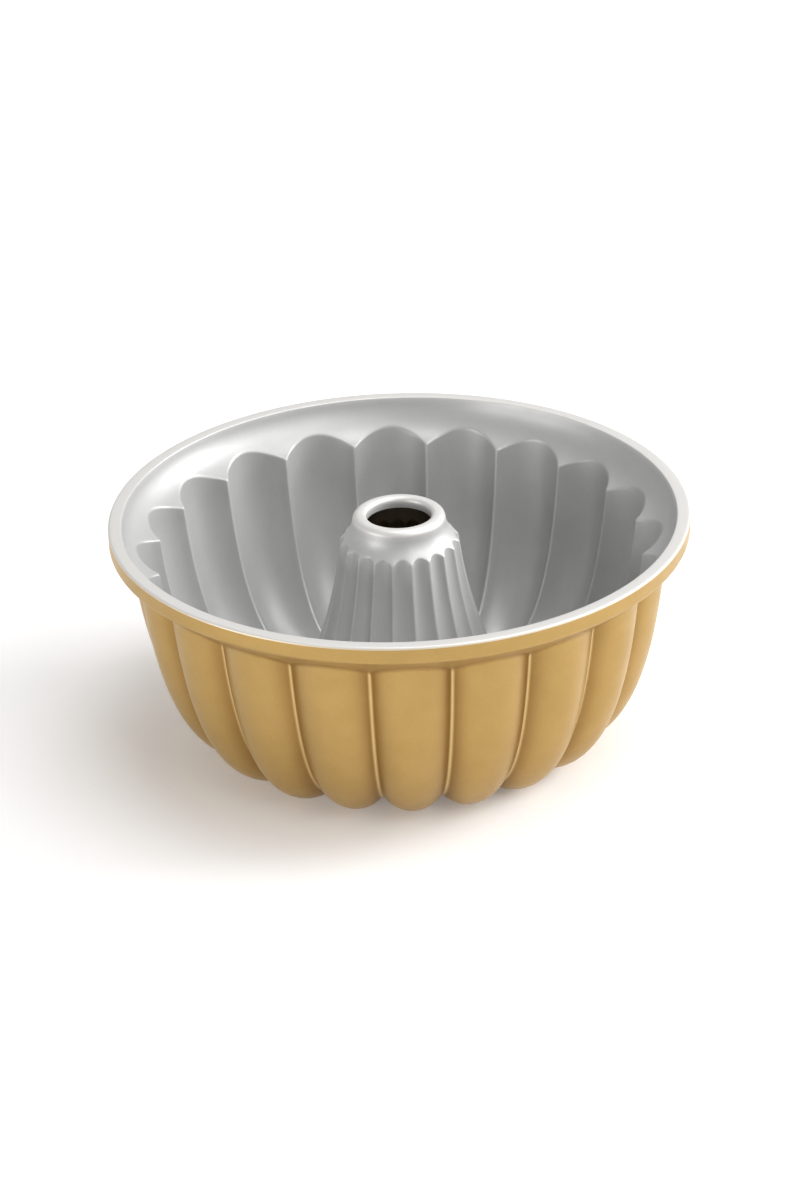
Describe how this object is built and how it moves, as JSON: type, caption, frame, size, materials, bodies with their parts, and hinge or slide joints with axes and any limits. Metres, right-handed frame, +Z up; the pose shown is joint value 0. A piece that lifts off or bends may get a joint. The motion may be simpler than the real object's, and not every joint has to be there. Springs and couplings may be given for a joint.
{
  "type": "bundt pan",
  "caption": "Round fluted cake pan, cast in one piece, with a hollow central tube, a flat rim, a grey release lining inside and satin gold enamel outside.",
  "frame": {"origin": "on the pan's axis, in the plane that its flute bottoms stand on", "axes": "+Z up along the axis, out of the pan's mouth; -Y through the middle of one flute"},
  "size_m": [0.24, 0.24, 0.1],
  "materials": {
    "cast_metal": "satin",
    "lining": "satin",
    "enamel": "satin"
  },
  "bodies": {
    "root": {"casting": "cast_metal", "nonstick_lining": "lining", "gold_enamel": "enamel"}
  },
  "joints": []
}
